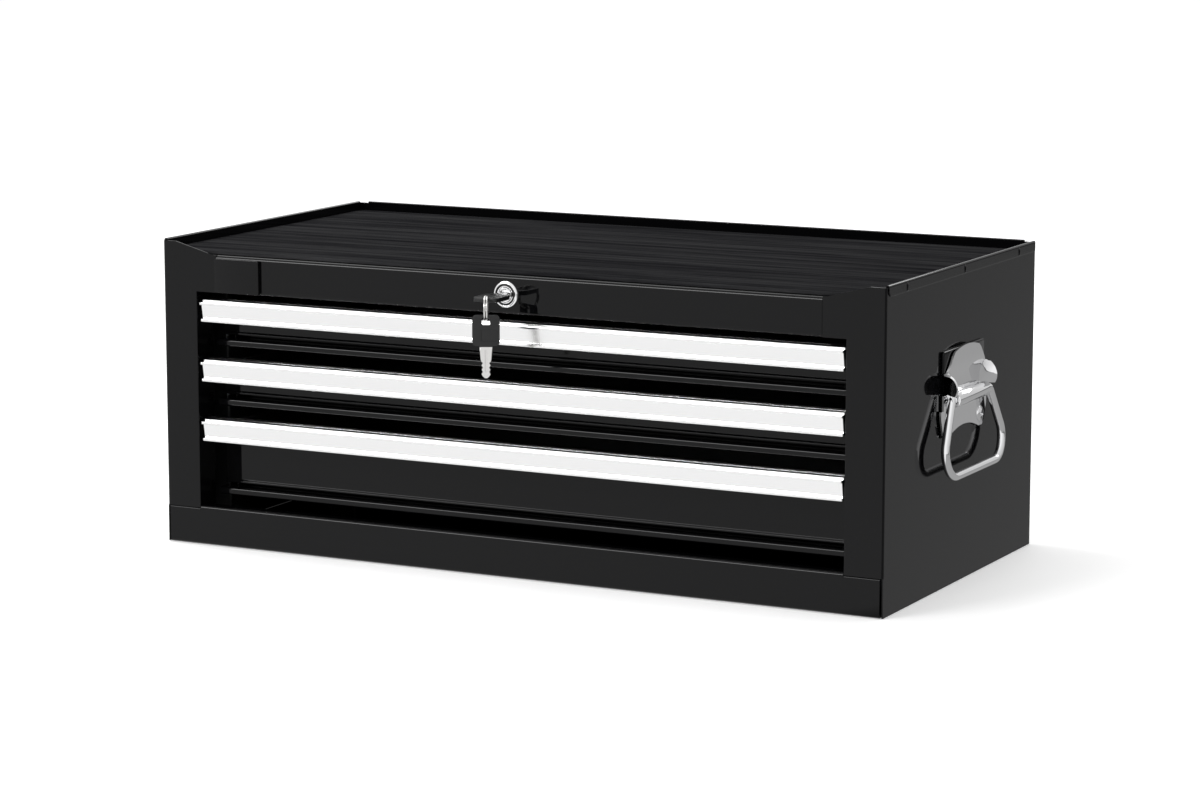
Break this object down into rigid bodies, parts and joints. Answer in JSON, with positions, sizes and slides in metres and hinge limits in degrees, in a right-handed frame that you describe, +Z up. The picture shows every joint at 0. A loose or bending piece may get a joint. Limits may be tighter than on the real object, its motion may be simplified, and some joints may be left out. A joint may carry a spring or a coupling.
{
  "type": "tool cabinet",
  "caption": "Low steel tool chest with stacked drawers, full-width aluminium pulls, a lock in the top rail, a matted tray top and a drop handle on each side.",
  "frame": {"origin": "on the floor under the middle of the cabinet's body", "axes": "+X to the right seen from the front, +Y to the back, +Z up"},
  "size_m": [0.6922, 0.3699, 0.26],
  "materials": {
    "enamel": "gloss",
    "inner_enamel": "satin",
    "aluminium": "satin anodised",
    "chrome": "polished",
    "nickel": "nickel plated",
    "zinc": "zinc plated",
    "steel": "ground",
    "mat": "fine ribbed",
    "plastic": "moulded"
  },
  "bodies": {
    "cabinet": {"left_side": "enamel", "right_side": "enamel", "top_panel": "enamel", "bottom_panel": "enamel", "back_panel": "enamel", "top_mat": "mat", "badge_plate": "plastic", "left_uprights": "inner_enamel", "right_uprights": "inner_enamel", "outer_slides_1": "zinc", "outer_slides_2": "zinc", "outer_slides_3": "zinc", "lock_body": "chrome", "lock_nut": "zinc", "rod_bracket": "inner_enamel", "bar_guides": "inner_enamel", "left_handle_pad": "enamel", "right_handle_pad": "enamel", "left_handle_plate": "chrome", "right_handle_plate": "chrome", "left_handle_screws": "zinc", "right_handle_screws": "zinc"},
    "lock_turner": {"lock_core": "chrome", "lock_rod": "zinc", "key_blade": "nickel", "key_head": "plastic"},
    "lock_bar": {"lock_bar": "zinc"},
    "key_ring": {"key_ring": "nickel"},
    "spare_key": {"spare_key_blade": "nickel", "spare_key_head": "plastic"},
    "left_bail": {"left_bail": "chrome"},
    "right_bail": {"right_bail": "chrome"},
    "drawer_1": {"drawer_tray_1": "inner_enamel", "drawer_front_1": "enamel", "drawer_pull_1": "aluminium", "drawer_catch_1": "zinc", "inner_slides_1": "zinc"},
    "ball_cages_1": {"ball_cages_1": "zinc", "slide_balls_1": "steel"},
    "drawer_2": {"drawer_tray_2": "inner_enamel", "drawer_front_2": "enamel", "drawer_pull_2": "aluminium", "drawer_catch_2": "zinc", "inner_slides_2": "zinc"},
    "ball_cages_2": {"ball_cages_2": "zinc", "slide_balls_2": "steel"},
    "drawer_3": {"drawer_tray_3": "inner_enamel", "drawer_front_3": "enamel", "drawer_pull_3": "aluminium", "drawer_catch_3": "zinc", "inner_slides_3": "zinc"},
    "ball_cages_3": {"ball_cages_3": "zinc", "slide_balls_3": "steel"}
  },
  "joints": [
    {"name": "drawer_1_slide", "type": "slide", "parent": "cabinet", "child": "drawer_1", "axis": [0, -1, 0], "range_m": [0, 0.18], "deforming": ["spare_key_blade", "spare_key_head"]},
    {"name": "cages_1_roll", "type": "slide", "parent": "cabinet", "child": "ball_cages_1", "axis": [0, -1, 0], "range_m": [0, 0.09]},
    {"name": "drawer_2_slide", "type": "slide", "parent": "cabinet", "child": "drawer_2", "axis": [0, -1, 0], "range_m": [0, 0.18]},
    {"name": "cages_2_roll", "type": "slide", "parent": "cabinet", "child": "ball_cages_2", "axis": [0, -1, 0], "range_m": [0, 0.09]},
    {"name": "drawer_3_slide", "type": "slide", "parent": "cabinet", "child": "drawer_3", "axis": [0, -1, 0], "range_m": [0, 0.18]},
    {"name": "cages_3_roll", "type": "slide", "parent": "cabinet", "child": "ball_cages_3", "axis": [0, -1, 0], "range_m": [0, 0.09]},
    {"name": "lock_turn", "type": "hinge", "parent": "cabinet", "child": "lock_turner", "pos_m": [0, -0.1625, 0.233], "axis": [0, -1, 0], "range_deg": [0, 90]},
    {"name": "lock_bar_lift", "type": "slide", "parent": "cabinet", "child": "lock_bar", "axis": [0, 0, 1], "range_m": [0, 0.01202]},
    {"name": "ring_swing", "type": "hinge", "parent": "lock_turner", "child": "key_ring", "pos_m": [0.001, -0.1984, 0.233], "axis": [-0.891, -0.454, 0], "range_deg": [-8, 12]},
    {"name": "spare_key_swing", "type": "hinge", "parent": "key_ring", "child": "spare_key", "pos_m": [0.001, -0.1984, 0.21735], "axis": [-0.454, 0.891, 0], "range_deg": [-25, 25]},
    {"name": "right_bail_swing", "type": "hinge", "parent": "cabinet", "child": "right_bail", "pos_m": [0.3375, 0, 0.154], "axis": [0, -1, 0], "range_deg": [-5, 85]},
    {"name": "left_bail_swing", "type": "hinge", "parent": "cabinet", "child": "left_bail", "pos_m": [-0.3375, 0, 0.154], "axis": [0, 1, 0], "range_deg": [-5, 85]}
  ],
  "couplings": [
    {"joint": "cages_1_roll", "follows": "drawer_1_slide", "ratio": 0.5},
    {"joint": "cages_2_roll", "follows": "drawer_2_slide", "ratio": 0.5},
    {"joint": "cages_3_roll", "follows": "drawer_3_slide", "ratio": 0.5},
    {"joint": "lock_turn", "follows": "lock_bar_lift", "rad_per_m": 130.67}
  ]
}
